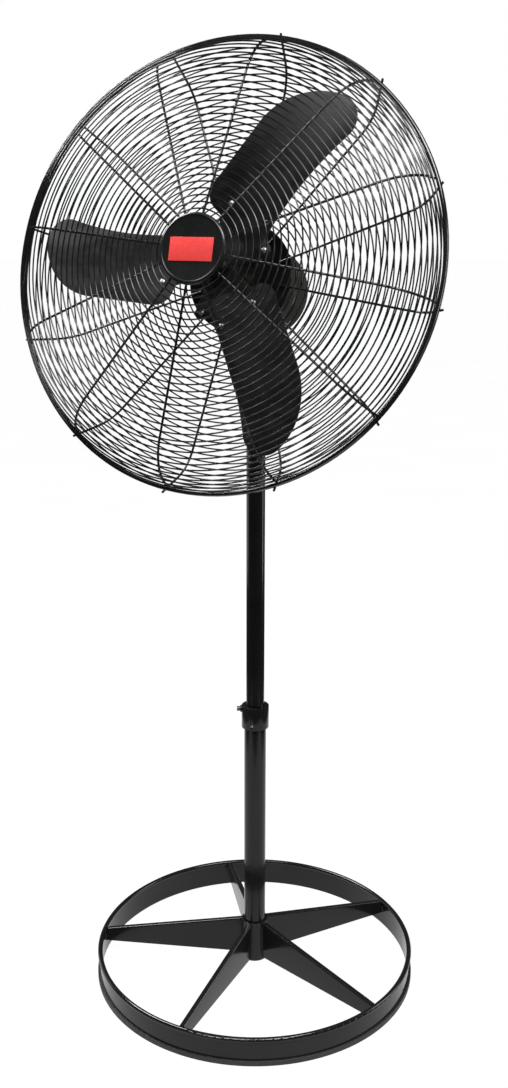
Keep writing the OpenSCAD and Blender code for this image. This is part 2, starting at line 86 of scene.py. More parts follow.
def fan_points(node):
    """A CAD node's vertices in the fan frame, as an array."""
    flat = np.empty(len(NODES[node].data.vertices) * 3)
    NODES[node].data.vertices.foreach_get("co", flat)
    inverse = np.array(FAN_INV)
    return flat.reshape(-1, 3) @ inverse[:3, :3].T + inverse[:3, 3]


# ---------- materials ----------

class Net:
    """A material and short words for its nodes."""

    def __init__(self, name, color, roughness, metallic=0.0, coat=0.0, ior=1.5):
        self.mat = bpy.data.materials.new(name)
        self.mat.use_nodes = True
        self.tree = self.mat.node_tree
        self.bsdf = self.tree.nodes["Principled BSDF"]
        self.coord = self.add("ShaderNodeTexCoord").outputs["Object"]
        self.normal = None
        self.put("Base Color", (*color, 1))
        self.put("Roughness", roughness)
        self.put("Metallic", metallic)
        self.put("IOR", ior)
        self.put("Coat Weight", coat)
        self.put("Coat Roughness", 0.05)

    def add(self, kind, **settings):
        node = self.tree.nodes.new(kind)
        for key, value in settings.items():
            setattr(node, key, value)
        return node

    def put(self, socket, value):
        if isinstance(value, bpy.types.NodeSocket):
            self.tree.links.new(value, self.bsdf.inputs[socket])
        else:
            self.bsdf.inputs[socket].default_value = value

    def feed(self, node, index, value):
        if isinstance(value, bpy.types.NodeSocket):
            self.tree.links.new(value, node.inputs[index])
        else:
            node.inputs[index].default_value = value

    def stretched(self, scale, turn=(0, 0, 0)):
        node = self.add("ShaderNodeMapping")
        self.tree.links.new(self.coord, node.inputs["Vector"])
        node.inputs["Scale"].default_value = scale
        node.inputs["Rotation"].default_value = turn
        return node.outputs["Vector"]

    def noise(self, scale, detail=3.0, rough=0.5, vector=None, warp=0.0):
        node = self.add("ShaderNodeTexNoise")
        self.tree.links.new(vector or self.coord, node.inputs["Vector"])
        node.inputs["Scale"].default_value = scale
        node.inputs["Detail"].default_value = detail
        node.inputs["Roughness"].default_value = rough
        node.inputs["Distortion"].default_value = warp
        return node.outputs["Fac"]

    def cells(self, scale):
        node = self.add("ShaderNodeTexVoronoi", feature="SMOOTH_F1")
        self.tree.links.new(self.coord, node.inputs["Vector"])
        node.inputs["Scale"].default_value = scale
        return node.outputs["Distance"]

    def math(self, operation, a, b=0.0, clamp=False):
        node = self.add("ShaderNodeMath", operation=operation, use_clamp=clamp)
        self.feed(node, 0, a)
        self.feed(node, 1, b)
        return node.outputs[0]

    def between(self, value, low, high, out_low, out_high):
        node = self.add("ShaderNodeMapRange", interpolation_type="SMOOTHSTEP")
        for index, item in enumerate((value, low, high, out_low, out_high)):
            self.feed(node, index, item)
        return node.outputs[0]

    def mix(self, factor, a, b):
        node = self.add("ShaderNodeMix", data_type="RGBA")
        self.feed(node, 0, factor)
        for index, item in ((6, a), (7, b)):
            self.feed(node, index, item if isinstance(item, bpy.types.NodeSocket) else (*item, 1))
        return node.outputs[2]

    def bump(self, height, distance):
        node = self.add("ShaderNodeBump")
        node.inputs["Strength"].default_value = 1.0
        node.inputs["Distance"].default_value = distance
        self.tree.links.new(height, node.inputs["Height"])
        if self.normal:
            self.tree.links.new(self.normal, node.inputs["Normal"])
        self.normal = node.outputs["Normal"]
        self.tree.links.new(self.normal, self.bsdf.inputs["Normal"])

    def dot(self, axis):
        node = self.add("ShaderNodeVectorMath", operation="DOT_PRODUCT")
        self.tree.links.new(self.coord, node.inputs[0])
        node.inputs[1].default_value = axis
        return node.outputs["Value"]


def scaled(color, k):
    return tuple(c * k for c in color)


def enamel(name, color, roughness, peel=0.00004, peel_scale=420.0, ior=1.42):
    """Sprayed gloss paint: orange peel, faint cloudy gloss, dust specks and rubbed spots."""
    n = Net(name, color, roughness, ior=ior)
    clouds = n.noise(9.0, 4.0, 0.6)
    smear = n.noise(38.0, 5.0, 0.65, warp=0.6)
    specks = n.between(n.noise(900.0, 2.0, 0.5), 0.68, 0.76, 0.0, 1.0)
    tone = n.mix(n.between(clouds, 0.3, 0.7, 0.0, 1.0), scaled(color, 0.8), scaled(color, 1.25))
    n.put("Base Color", n.mix(n.math("MULTIPLY", specks, 0.35), tone, scaled(color, 3.5)))
    rough = n.between(smear, 0.35, 0.75, roughness * 0.85, roughness * 1.35)
    n.put("Roughness", n.math("ADD", rough, n.math("MULTIPLY", specks, 0.2), clamp=True))
    n.bump(n.noise(peel_scale, 2.0, 0.5), peel)
    n.bump(n.noise(60.0, 2.0, 0.4), peel * 2.0)
    return n.mat


def moulded(name, color, roughness, grain=0.00005, grain_scale=1500.0, ior=1.42):
    """Injection-moulded plastic: spark-eroded grain, slight flow marks."""
    n = Net(name, color, roughness, ior=ior)
    flow = n.noise(22.0, 4.0, 0.55, warp=1.2)
    marks = n.between(flow, 0.35, 0.7, 0.0, 1.0)
    n.put("Base Color", n.mix(marks, scaled(color, 0.85), scaled(color, 1.3)))
    fine = n.noise(grain_scale, 3.0, 0.6)
    n.put("Roughness", n.between(fine, 0.3, 0.7, roughness * 0.85, roughness * 1.2))
    n.bump(n.cells(grain_scale), grain)
    return n.mat


def rubber(name, color):
    """Black rubber, paler where it has been scuffed."""
    n = Net(name, color, 0.62)
    scuff = n.noise(45.0, 6.0, 0.7, warp=0.4)
    n.put("Base Color", n.mix(n.between(scuff, 0.5, 0.75, 0.0, 1.0), color, scaled(color, 2.2)))
    n.put("Roughness", n.between(scuff, 0.4, 0.75, 0.55, 0.8))
    n.bump(n.noise(1200.0, 4.0, 0.6), 0.00008)
    return n.mat


def turned(name, color, roughness, axis, pitch=0.0004, depth=0.00002):
    """Turned or ground steel: fine lines round the axis and a little stain."""
    n = Net(name, color, roughness, metallic=1.0)
    wander = n.noise(30.0, 4.0, 0.6)
    stain = n.between(wander, 0.3, 0.7, 0.0, 1.0)
    n.put("Base Color", n.mix(stain, scaled(color, 0.82), scaled(color, 1.08)))
    line = n.math("MULTIPLY", n.dot(axis), 1.0 / pitch)
    ripple = n.add("ShaderNodeTexNoise", noise_dimensions="1D")
    n.feed(ripple, "W", line)
    ripple.inputs["Detail"].default_value = 3.0
    fine = ripple.outputs["Fac"]
    n.put("Roughness", n.between(fine, 0.3, 0.7, roughness * 0.75, roughness * 1.3))
    n.bump(fine, depth)
    return n.mat


def plated(name, color, roughness):
    """Zinc-plated steel: cloudy passivation with a grainy, slightly pitted surface."""
    n = Net(name, color, roughness, metallic=1.0)
    cloud = n.noise(160.0, 5.0, 0.6, warp=0.8)
    yellowed = (color[0], color[1] * 0.99, color[2] * 0.93)
    n.put("Base Color", n.mix(n.between(cloud, 0.35, 0.7, 0.0, 1.0), scaled(color, 0.8), yellowed))
    n.put("Roughness", n.between(n.noise(700.0, 4.0, 0.6), 0.3, 0.75, roughness * 0.7, roughness * 1.5))
    n.bump(n.noise(1800.0, 3.0, 0.6), 0.00003)
    return n.mat


def laminated(name, color, axis, plate=0.0006):
    """A stack of thin core plates, seen on edge, with a little rust."""
    n = Net(name, color, 0.45, metallic=0.8)
    wave = n.math("SINE", n.math("MULTIPLY", n.dot(axis), 2 * math.pi / plate))
    plates = n.between(wave, -0.6, 0.9, 0.0, 1.0)
    tone = n.mix(plates, scaled(color, 0.35), color)
    n.put("Base Color", n.mix(n.between(n.noise(50.0, 4.0), 0.4, 0.7, 0.0, 0.5), tone, (0.16, 0.09, 0.05)))
    n.bump(plates, 0.0001)
    return n.mat


def wound(name, color):
    """Varnished copper wire in long strands; the grooves between strands are painted darker as shade."""
    n = Net(name, color, 0.3, metallic=0.85, coat=0.6)
    strands = n.add("ShaderNodeTexNoise")
    strands.inputs["Scale"].default_value = 800.0
    n.tree.links.new(n.stretched((0.15, 1.0, 1.0)), strands.inputs["Vector"])
    fine = strands.outputs["Fac"]
    # painted shade: the colour is darkened in the grooves between strands and lightened a little on their crowns
    strand_groove_shade = n.between(fine, 0.35, 0.65, 0.0, 1.0)
    n.put("Base Color", n.mix(strand_groove_shade, scaled(color, 0.45), scaled(color, 1.1)))
    n.bump(fine, 0.0004)
    return n.mat


def sheet_paint(name, color, roughness, ior=1.38):
    """Satin paint on rolled sheet: rolling streaks under the paint, mottled sheen."""
    n = Net(name, color, roughness, ior=ior)
    streak = n.noise(60.0, 5.0, 0.65, vector=n.stretched((0.35, 1.6, 1.0), (0.3, 0.2, 0.9)), warp=0.7)
    mottle = n.noise(140.0, 5.0, 0.7, warp=1.5)
    both = n.math("ADD", n.math("MULTIPLY", streak, 0.6), n.math("MULTIPLY", mottle, 0.4))
    tone = n.between(both, 0.38, 0.66, 0.0, 1.0)
    n.put("Base Color", n.mix(tone, scaled(color, 0.55), scaled(color, 1.7)))
    n.put("Roughness", n.between(both, 0.35, 0.7, roughness * 0.78, roughness * 1.25))
    n.bump(mottle, 0.00006)
    n.bump(n.noise(700.0, 2.0, 0.5), 0.00003)
    return n.mat


def printed(name, color):
    """A glossy coloured panel with a faint screen of print and a soft sheen."""
    n = Net(name, color, 0.22, coat=0.25)
    screen = n.between(n.noise(260.0, 3.0, 0.6), 0.35, 0.7, 0.0, 1.0)
    n.put("Base Color", n.mix(screen, scaled(color, 0.93), scaled(color, 1.04)))
    n.put("Roughness", n.between(n.noise(80.0, 4.0, 0.6), 0.3, 0.7, 0.18, 0.3))
    n.bump(n.noise(900.0, 2.0, 0.5), 0.000015)
    return n.mat


FAN_AXIS = tuple(FAN.col[2][:3])
MATS = {
    "black_enamel": enamel("black_enamel", (0.0055, 0.0055, 0.0058), 0.14, ior=1.34),
    "guard_enamel": enamel("guard_enamel", (0.0065, 0.0063, 0.0068), 0.11,
                           peel=0.00002, peel_scale=900.0, ior=1.5),
    "blade_paint": sheet_paint("blade_paint", (0.0085, 0.0082, 0.0086), 0.42, ior=1.3),
    "motor_paint": enamel("motor_paint", (0.024, 0.026, 0.020), 0.09, peel=0.00003, ior=1.6),
    "black_rubber": rubber("black_rubber", (0.011, 0.011, 0.0115)),
    "nylon": moulded("nylon", (0.03, 0.03, 0.032), 0.42, grain_scale=900.0),
    "knob_plastic": moulded("knob_plastic", (0.013, 0.013, 0.0135), 0.38),
    "zinc_steel": plated("zinc_steel", (0.62, 0.63, 0.64), 0.3),
    "dark_steel": plated("dark_steel", (0.12, 0.12, 0.125), 0.34),
    "bright_steel": turned("bright_steel", (0.66, 0.67, 0.68), 0.2, FAN_AXIS),
    "core_steel": laminated("core_steel", (0.33, 0.34, 0.36), FAN_AXIS),
    "copper": wound("copper", (0.72, 0.3, 0.13)),
    "cap_plastic": moulded("cap_plastic", (0.0045, 0.0055, 0.005), 0.26,
                           grain=0.00003, grain_scale=1800.0),
    "badge_red": printed("badge_red", (0.56, 0.042, 0.039)),
    "can_metal": turned("can_metal", (0.56, 0.57, 0.58), 0.3, FAN_AXIS, pitch=0.0009),
}

for name, node in NODES.items():
    node.data.materials.clear()
    node.data.materials.append(MATS[SLOT_OF[name]])


# ---------- mesh helpers ----------

HARD_EDGE = math.radians(30.0)


def piece(name, verts, faces, body, slot, place=None, replaces=(), sharp=35.0):
    """A mesh object of the given points and faces (metres, in the frame place), riding a body."""
    mesh = bpy.data.meshes.new(name)
    mesh.from_pydata([tuple(v) for v in verts], [], faces)
    if place is not None:
        mesh.transform(place)
    return finish_piece(name, mesh, body, slot, replaces, sharp)


def finish_piece(name, mesh, body, slot, replaces=(), sharp=35.0):
    """A finished mesh as an object: smooth but for its sharp edges, with its slot and body."""
    work = bmesh.new()
    work.from_mesh(mesh)
    bmesh.ops.recalc_face_normals(work, faces=work.faces)
    work.to_mesh(mesh)
    work.free()
    mesh.shade_smooth()
    mesh.set_sharp_from_angle(angle=math.radians(sharp))
    mesh.materials.clear()
    mesh.materials.append(MATS[slot])
    thing = bpy.data.objects.new(name, mesh)
    bpy.context.scene.collection.objects.link(thing)
    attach(thing, body)
    if replaces:
        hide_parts(*replaces)
    return thing


def bevelled(node, width, segments=2):
    """The CAD node with its hard outer edges really rounded, in place of the sharp one."""
    work = bmesh.new()
    work.from_mesh(NODES[node].data)
    for layer in list(work.loops.layers.float_vector.values()):
        work.loops.layers.float_vector.remove(layer)
    bmesh.ops.remove_doubles(work, verts=work.verts, dist=0.002 * MM)
    bmesh.ops.dissolve_limit(work, angle_limit=math.radians(0.3), verts=work.verts, edges=work.edges)
    hard = [e for e in work.edges
            if e.is_manifold and e.calc_face_angle() > HARD_EDGE and e.is_convex]
    bmesh.ops.bevel(work, geom=hard, offset=width, offset_type="OFFSET", segments=segments,
                    profile=0.5, affect="EDGES", clamp_overlap=True, miter_outer="ARC")
    mesh = bpy.data.meshes.new(node + "_finished")
    work.to_mesh(mesh)
    work.free()
    if "custom_normal" in mesh.attributes:
        mesh.attributes.remove(mesh.attributes["custom_normal"])
    return finish_piece(node + "_finished", mesh, BODY_OF[node], SLOT_OF[node], [node], sharp=40.0)


def hexed(a):
    """How far a hexagon's edge lies out at angle a, for a half width of 1 across the flats."""
    return 1.0 / math.cos((a + math.pi / 6) % (math.pi / 3) - math.pi / 6)


def outline(item, count):
    """The points of one turned ring: (r, z), (r, z, "hex"), or (r, z, lobes, depth) for a lobed one."""
    r, z = item[:2]
    points = []
    for i in range(count):
        a = 2 * math.pi * i / count
        k = 1.0
        if len(item) == 3:
            k = hexed(a)
        elif len(item) == 4:
            k = 1.0 + item[3] * math.cos(item[2] * a)
        points.append((r * k * math.cos(a), r * k * math.sin(a), z))
    return points


def band(low, high, count):
    """The faces between two rings of points."""
    low, high = low * count, high * count
    turn = [(i, (i + 1) % count) for i in range(count)]
    return [(low + i, low + j, high + j, high + i) for i, j in turn]


def close_ends(verts, faces, ends, count):
    """A cone of faces from each end ring to a point on the axis: ends holds (ring, height) pairs."""
    for ring, height in ends:
        verts.append((0, 0, height))
        tip = len(verts) - 1
        for i in range(count):
            faces.append((tip, ring * count + i, ring * count + (i + 1) % count))


def ring_solid(profile, count=72):
    """Points and faces of a closed profile turned about Z."""
    verts, faces = [], []
    for item in profile:
        verts += outline(item, count)
    for k in range(len(profile)):
        faces += band(k, (k + 1) % len(profile), count)
    return verts, faces


def turned_solid(profile, count=72):
    """Points and faces of a solid turned about Z, whose profile starts and ends on the axis."""
    verts, faces = [], []
    for item in profile[1:-1]:
        verts += outline(item, count)
    last = len(profile) - 3
    for k in range(last):
        faces += band(k, k + 1, count)
    close_ends(verts, faces, ((0, profile[0][1]), (last, profile[-1][1])), count)
    return verts, faces


def arc(cx, cz, r, a0, a1, steps=6):
    """Profile points round a corner, angles in degrees."""
    return [(cx + r * math.cos(math.radians(a0 + (a1 - a0) * i / steps)),
             cz + r * math.sin(math.radians(a0 + (a1 - a0) * i / steps))) for i in range(steps + 1)]


def joined(parts):
    """Several (verts, faces) as one."""
    verts, faces = [], []
    for v, f in parts:
        start = len(verts)
        verts += list(v)
        faces += [tuple(i + start for i in face) for face in f]
    return verts, faces


def moved(part, place):
    """The (verts, faces) of a part, moved to a place."""
    verts, faces = part
    return [place @ Vector(v) for v in verts], faces


def sweep(points, radii, count=10):
    """A closed round bead along points, with a radius at each point."""
    verts, faces = [], []
    pts = [Vector(p) for p in points]
    last = len(pts) - 1
    side = None
    for k, p in enumerate(pts):
        way = (pts[min(k + 1, last)] - pts[max(k - 1, 0)]).normalized()
        if side is None:
            side = way.orthogonal().normalized()
        side = (side - way * side.dot(way)).normalized()
        up = way.cross(side)
        for i in range(count):
            a = 2 * math.pi * i / count
            verts.append(p + (side * math.cos(a) + up * math.sin(a)) * radii[k])
    for k in range(last):
        faces += band(k, k + 1, count)
    faces.append(tuple(reversed(range(count))))
    faces.append(tuple(range(last * count, last * count + count)))
    return verts, faces


def bead(start, end, radius, ripple=0.0022, wobble=0.14):
    """A weld bead: a run of overlapping ripples between two points."""
    a, b = Vector(start), Vector(end)
    length = (b - a).length
    steps = max(int(length / ripple * 4), 8)
    points, radii = [], []
    for k in range(steps + 1):
        t = k / steps
        points.append(a.lerp(b, t))
        scallop = abs(math.sin(math.pi * t * length / ripple))
        taper = min(1.0, 0.25 + 5.0 * min(t, 1 - t) * length / 0.02)
        radii.append(radius * taper * (1 - wobble + wobble * scallop))
    return sweep(points, radii, 10)


def hex_head(half_flats, z0, z1, count=72):
    """A hexagon head with the curved chamfers that turning leaves on its outer end, z1."""
    verts, faces = [], []
    flat_end = 0.94
    outward = 1.0 if z1 > z0 else -1.0
    for factor, z, hexagon in ((0.0, z0, True), (0.0, z1, True), (flat_end, z1, False)):
        for i in range(count):
            a = 2 * math.pi * i / count
            r = half_flats * (hexed(a) if hexagon else factor)
            drop = max(0.0, r - half_flats * flat_end) * 0.5 if hexagon and z == z1 else 0.0
            verts.append((r * math.cos(a), r * math.sin(a), z - outward * drop))
    faces += band(0, 1, count) + band(1, 2, count)
    close_ends(verts, faces, ((0, z0), (2, z1)), count)
    return verts, faces


def rod(r, z0, z1, soft=0.3 * MM):
    """A plain round bar with broken edges."""
    return turned_solid([(0, z0), (r - soft, z0), (r, z0 + soft),
                         (r, z1 - soft), (r - soft, z1), (0, z1)], 48)


def pan_head(r, h, count=48, steps=14, recess=True):
    """A domed screw head on z = 0 with a cross recess, or a plain rivet dome."""
    def smooth(x, edge, soft):
        t = min(max((edge + soft - abs(x)) / (2 * soft), 0.0), 1.0)
        return t * t * (3 - 2 * t)

    rings = []
    for k in range(1, steps + 1):
        rings.append((r * math.sin(math.pi / 2 * k / steps), math.cos(math.pi / 2 * k / steps)))
    verts, faces = [], []
    for rr, c in rings:
        for i in range(count):
            a = 2 * math.pi * i / count
            x, y = rr * math.cos(a), rr * math.sin(a)
            z = h * (0.12 + 0.88 * c ** 0.8) if c > 1e-6 else h * 0.12
            if recess:
                bars = max(smooth(x, 0.13 * r, 0.05 * r) * smooth(y, 0.52 * r, 0.08 * r),
                           smooth(y, 0.13 * r, 0.05 * r) * smooth(x, 0.52 * r, 0.08 * r))
                z -= 0.6 * h * bars
            verts.append((x, y, z))
    for i in range(count):
        a = 2 * math.pi * i / count
        verts.append((r * math.cos(a), r * math.sin(a), 0.0))
    for k in range(steps):
        faces += band(k, k + 1, count)
    verts.append((0, 0, h * (0.4 if recess else 1.0)))
    verts.append((0, 0, 0))
    for i in range(count):
        j = (i + 1) % count
        faces.append((len(verts) - 2, i, j))
        faces.append((len(verts) - 1, steps * count + j, steps * count + i))
    return verts, faces


def loose_parts(node):
    """The separate solids of a small CAD node, each as an array of its points."""
    mesh = NODES[node].data
    keys, index = {}, []
    for v in mesh.vertices:
        index.append(keys.setdefault(tuple(round(c, 6) for c in v.co), len(keys)))
    parent = list(range(len(keys)))

    def root(i):
        while parent[i] != i:
            parent[i] = parent[parent[i]]
            i = parent[i]
        return i

    for p in mesh.polygons:
        ids = [index[i] for i in p.vertices]
        for i in ids[1:]:
            parent[root(i)] = root(ids[0])
    groups = {}
    for co, i in keys.items():
        groups.setdefault(root(i), []).append(co)
    return [np.array(g) for _, g in sorted(groups.items())]


def pin_frame(points, towards):
    """(frame at the inner end of a round pin with +Z along it towards a direction, its length)."""
    centre = points.mean(0)
    _, _, axes = np.linalg.svd(points - centre)
    spread = [np.ptp((points - centre) @ a) for a in axes]
    odd = max(range(3), key=lambda i: min(abs(spread[i] - spread[j]) for j in range(3) if j != i))
    axis = Vector(axes[odd])
    if axis.dot(Vector(towards(Vector(centre)))) < 0:
        axis = -axis
    heights = (points - centre) @ np.array(axis)
    start = Vector(centre) + axis * float(heights.min())
    return along(start, axis, Vector((0.31, 0.17, 0.93))), float(np.ptp(heights))


def cross_screw(shank, head, height, length):
    """A screw along +Z from the end of its shank, with a pan head of a given radius and height."""
    neck = length - height
    return joined([rod(shank, 0, neck),
                   moved(pan_head(head, height), Matrix.Translation((0, 0, neck)))])


def phase(angles, n):
    """The common direction of n evenly spaced things, from many of their angles."""
    return math.atan2(np.sin(n * angles).mean(), np.cos(n * angles).mean()) / n


# ---------- base ----------

SPOKES = 5
FOLD_WALL = 2.5 * MM
FOLD_OUT = 3.2 * MM
spoke_pts = np.array([v.co for v in NODES["spokes"].data.vertices])
spoke_r = np.hypot(spoke_pts[:, 0], spoke_pts[:, 1])
spoke_phase = phase(np.arctan2(spoke_pts[:, 1], spoke_pts[:, 0])[spoke_r > 0.9 * spoke_r.max()], SPOKES)
spoke_lo, spoke_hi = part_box("spokes")
hub_lo, hub_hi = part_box("hub_socket")
hub_r = hub_hi.x
tube_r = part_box("lower_tube")[1].x
half_w = 6.0 * MM
spoke_end = math.sqrt(spoke_r.max() ** 2 - half_w ** 2)
WELD_GAP = 0.05 * MM
band_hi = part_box("base_ring")[1]
BEAD_R = 5.5 * MM
bead_x, bead_z = band_hi.x - BEAD_R, band_hi.z - BEAD_R
outer_top = max(spoke_pts[spoke_r > 0.9 * spoke_r.max()], key=lambda p: p[2])
top_slope = (outer_top[2] - spoke_hi.z) / (math.hypot(outer_top[0], outer_top[1]) - hub_r)


def spoke_top(x):
    """Height of the folded top, which dips under the rolled bead of the base band."""
    height = spoke_hi.z + top_slope * (x - hub_r)
    off = x - bead_x
    reach = BEAD_R + WELD_GAP
    if abs(off) < reach:
        height = min(height, bead_z - math.sqrt(reach * reach - off * off))
    return height


def folded_spoke(stations=30, steps=6):
    """A folded channel, hollow underneath, with rounded folds; its inner end is cut to the round hub."""
    outer = [(-half_w, None, 0.0)]
    inner = [(-half_w + FOLD_WALL, None, 0.0)]
    r_in = FOLD_OUT - FOLD_WALL
    for sign in (-1, 1):
        for k in range(steps + 1):
            a = math.pi * (1 - k / steps / 2) if sign < 0 else math.pi / 2 * (1 - k / steps)
            for loop, r, half, drop in ((outer, FOLD_OUT, half_w, 0.0),
                                        (inner, r_in, half_w - FOLD_WALL, FOLD_WALL)):
                loop.append((sign * (half - r) + r * math.cos(a), "top", -drop - r + r * math.sin(a)))
    outer.append((half_w, None, 0.0))
    inner.append((half_w - FOLD_WALL, None, 0.0))
    n = len(outer)
    verts, faces = [], []
    for s in range(stations + 1):
        for loop in (outer, inner):
            for y, kind, dz in loop:
                x0 = math.sqrt((hub_r + WELD_GAP) ** 2 - y * y)
                x = x0 + (spoke_end - x0) * (1 - (1 - s / stations) ** 2)
                z = spoke_top(x) + dz if kind else spoke_lo.z
                verts.append((x, y, z))
    for s in range(stations):
        a, b = s * 2 * n, (s + 1) * 2 * n
        for i in range(n - 1):
            faces.append((a + i, a + i + 1, b + i + 1, b + i))
            faces.append((a + n + i + 1, a + n + i, b + n + i, b + n + i + 1))
        faces.append((a + n, a, b, b + n))
        faces.append((a + n - 1, a + 2 * n - 1, b + 2 * n - 1, b + n - 1))
    for a in (0, stations * 2 * n):
        for i in range(n - 1):
            faces.append((a + i, a + i + 1, a + n + i + 1, a + n + i))
    return verts, faces


def spoke_beads():
    """One spoke's weld beads: up both sides at the hub and at the band, and over its top at the hub."""
    out = []
    r = 1.9 * MM
    x_hub = math.sqrt(hub_r ** 2 - half_w ** 2) + 0.5 * MM
    x_out = spoke_end - 0.4 * MM
    for side in (-1, 1):
        y = side * (half_w + 0.3 * MM)
        out.append(bead((x_hub, y, spoke_lo.z + 1.5 * MM), (x_hub, y, spoke_hi.z - 4 * MM), r))
        out.append(bead((x_out, y, spoke_lo.z + 1.5 * MM), (x_out, y, spoke_top(x_out) - 1 * MM), r))
    x_top, z_top = hub_r + 0.6 * MM, spoke_hi.z - 0.3 * MM
    out.append(bead((x_top, -4 * MM, z_top), (x_top, 4 * MM, z_top), r * 0.8))
    return joined(out)


turns = [Matrix.Rotation(spoke_phase + 2 * math.pi * k / SPOKES, 4, "Z") for k in range(SPOKES)]
v, f = joined([moved(folded_spoke(), t) for t in turns])
piece("folded_spokes", v, f, "base", "black_enamel", replaces=["spokes"], sharp=28)
v, f = joined([moved(spoke_beads(), t) for t in turns])
piece("spoke_weld_beads", v, f, "base", "black_enamel", sharp=60)

e = 0.9 * MM
profile = (arc(hub_r - e, hub_lo.z + e, e, -90, 0) + arc(hub_r - e, hub_hi.z - e, e, 0, 90)
           + [(tube_r + 0.55 * MM, hub_hi.z), (tube_r + WELD_GAP, hub_hi.z - 0.5 * MM),
              (tube_r + WELD_GAP, hub_lo.z + 0.5 * MM), (tube_r + 0.55 * MM, hub_lo.z)])
piece("hub_tube", *ring_solid(profile, 96), "base", "black_enamel", replaces=["hub_socket"])

strip_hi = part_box("floor_strip")[1]
ring_in = float(np.hypot(*np.array([v.co[:2] for v in NODES["floor_strip"].data.vertices]).T).min())
s_out, s_top = strip_hi.x, strip_hi.z
profile = (arc(s_out - 1.2 * MM, 1.2 * MM, 1.2 * MM, -90, 0)
           + arc(s_out - 1.6 * MM, s_top - 1.6 * MM, 1.6 * MM, 0, 75)
           + [(s_out - 2.4 * MM, s_top - 0.9 * MM), (s_out - 3.2 * MM, s_top - 0.9 * MM),
              (s_out - 3.4 * MM, s_top), (ring_in, s_top), (ring_in, 0.0)])
piece("ring_foot_strip", *ring_solid(profile, 256), "base", "black_rubber", replaces=["floor_strip"])

TO_FLATS = math.cos(math.pi / 6)  # half width of a hexagon across its flats, for a corner radius of 1
bolt_lo, bolt_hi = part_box("base_bolt")
head_top = bolt_lo.z + 6.4 * MM
washer_top = head_top + 1.9 * MM
v, f = joined([hex_head(9.2 * MM * TO_FLATS, head_top, bolt_lo.z),
               turned_solid([(0, head_top), (10.6 * MM, head_top), (11 * MM, head_top + 0.4 * MM),
                             (11 * MM, head_top + 1.5 * MM), (10.6 * MM, washer_top), (0, washer_top)]),
               rod(5 * MM, washer_top, bolt_hi.z)])
piece("seat_bolt", v, f, "base", "zinc_steel", replaces=["base_bolt"])

# ---------- pole ----------

bevelled("collar", 0.9 * MM, 3)
clamp = JOINTS["clamp_turn"]
clamp_place = along(Vector((0, 0, clamp["pos_m"][2])), Vector(clamp["axis"]))
clamp_pts = np.array([v.co for v in NODES["clamp_screw"].data.vertices]) @ np.array(Vector(clamp["axis"]))
tip_at, head_end = float(clamp_pts.min()), float(clamp_pts.max())
head_at = head_end - 6.6 * MM
KNURLS, KNURL_DEPTH = 24, 0.02
v, f = turned_solid([(0, tip_at), (3.4 * MM, tip_at), (4 * MM, tip_at + 0.7 * MM), (4 * MM, head_at),
                     (4.9 * MM, head_at), (5.2 * MM, head_at + 0.4 * MM),
                     (5.1 * MM, head_at + 0.8 * MM, KNURLS, KNURL_DEPTH),
                     (5.1 * MM, head_end - 1.3 * MM, KNURLS, KNURL_DEPTH),
                     (5.2 * MM, head_end - 0.9 * MM), (4.9 * MM, head_end - 0.25 * MM),
                     (4.4 * MM, head_end), (2.75 * MM, head_end, "hex"),
                     (2.5 * MM, head_end - 0.3 * MM, "hex"), (2.5 * MM, head_end - 3.2 * MM, "hex"),
                     (0, head_end - 3.6 * MM)], 96)
piece("clamp_cap_screw", v, f, "clamp", "dark_steel", clamp_place, ["clamp_screw"], sharp=32)

screws = []
for points in loose_parts("collar_screws"):
    place, length = pin_frame(points, lambda c: Vector((c.x, c.y, 0)))
    screws.append(moved(turned_solid([
        (0, 0), (2.0 * MM, 0), (2.5 * MM, 0.5 * MM), (2.5 * MM, length - 0.5 * MM), (2.1 * MM, length),
        (1.3 * MM, length, "hex"), (1.3 * MM, length - 2 * MM, "hex"), (0, length - 2.4 * MM)]), place))
v, f = joined(screws)
piece("collar_grub_screws", v, f, "base", "zinc_steel", replaces=["collar_screws"])

# ---------- swivel and tilt mount ----------

bevelled("swivel_socket", 0.9 * MM, 3)
bevelled("clevis_ears", 0.8 * MM, 2)
bevelled("tilt_washer", 0.3 * MM, 2)
bevelled("motor_foot", 1.0 * MM, 2)

tilt = JOINTS["head_tilt"]
across = along(Vector((0, 0, tilt["pos_m"][2])), Vector((1, 0, 0)))
tb_lo, tb_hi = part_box("tilt_bolt")
head_in = tb_lo.x + 7 * MM
v, f = joined([hex_head(10.4 * MM * TO_FLATS, head_in, tb_lo.x), rod(6 * MM, head_in, tb_hi.x)])
piece("tilt_hex_bolt", v, f, "turret", "zinc_steel", across, ["tilt_bolt"])


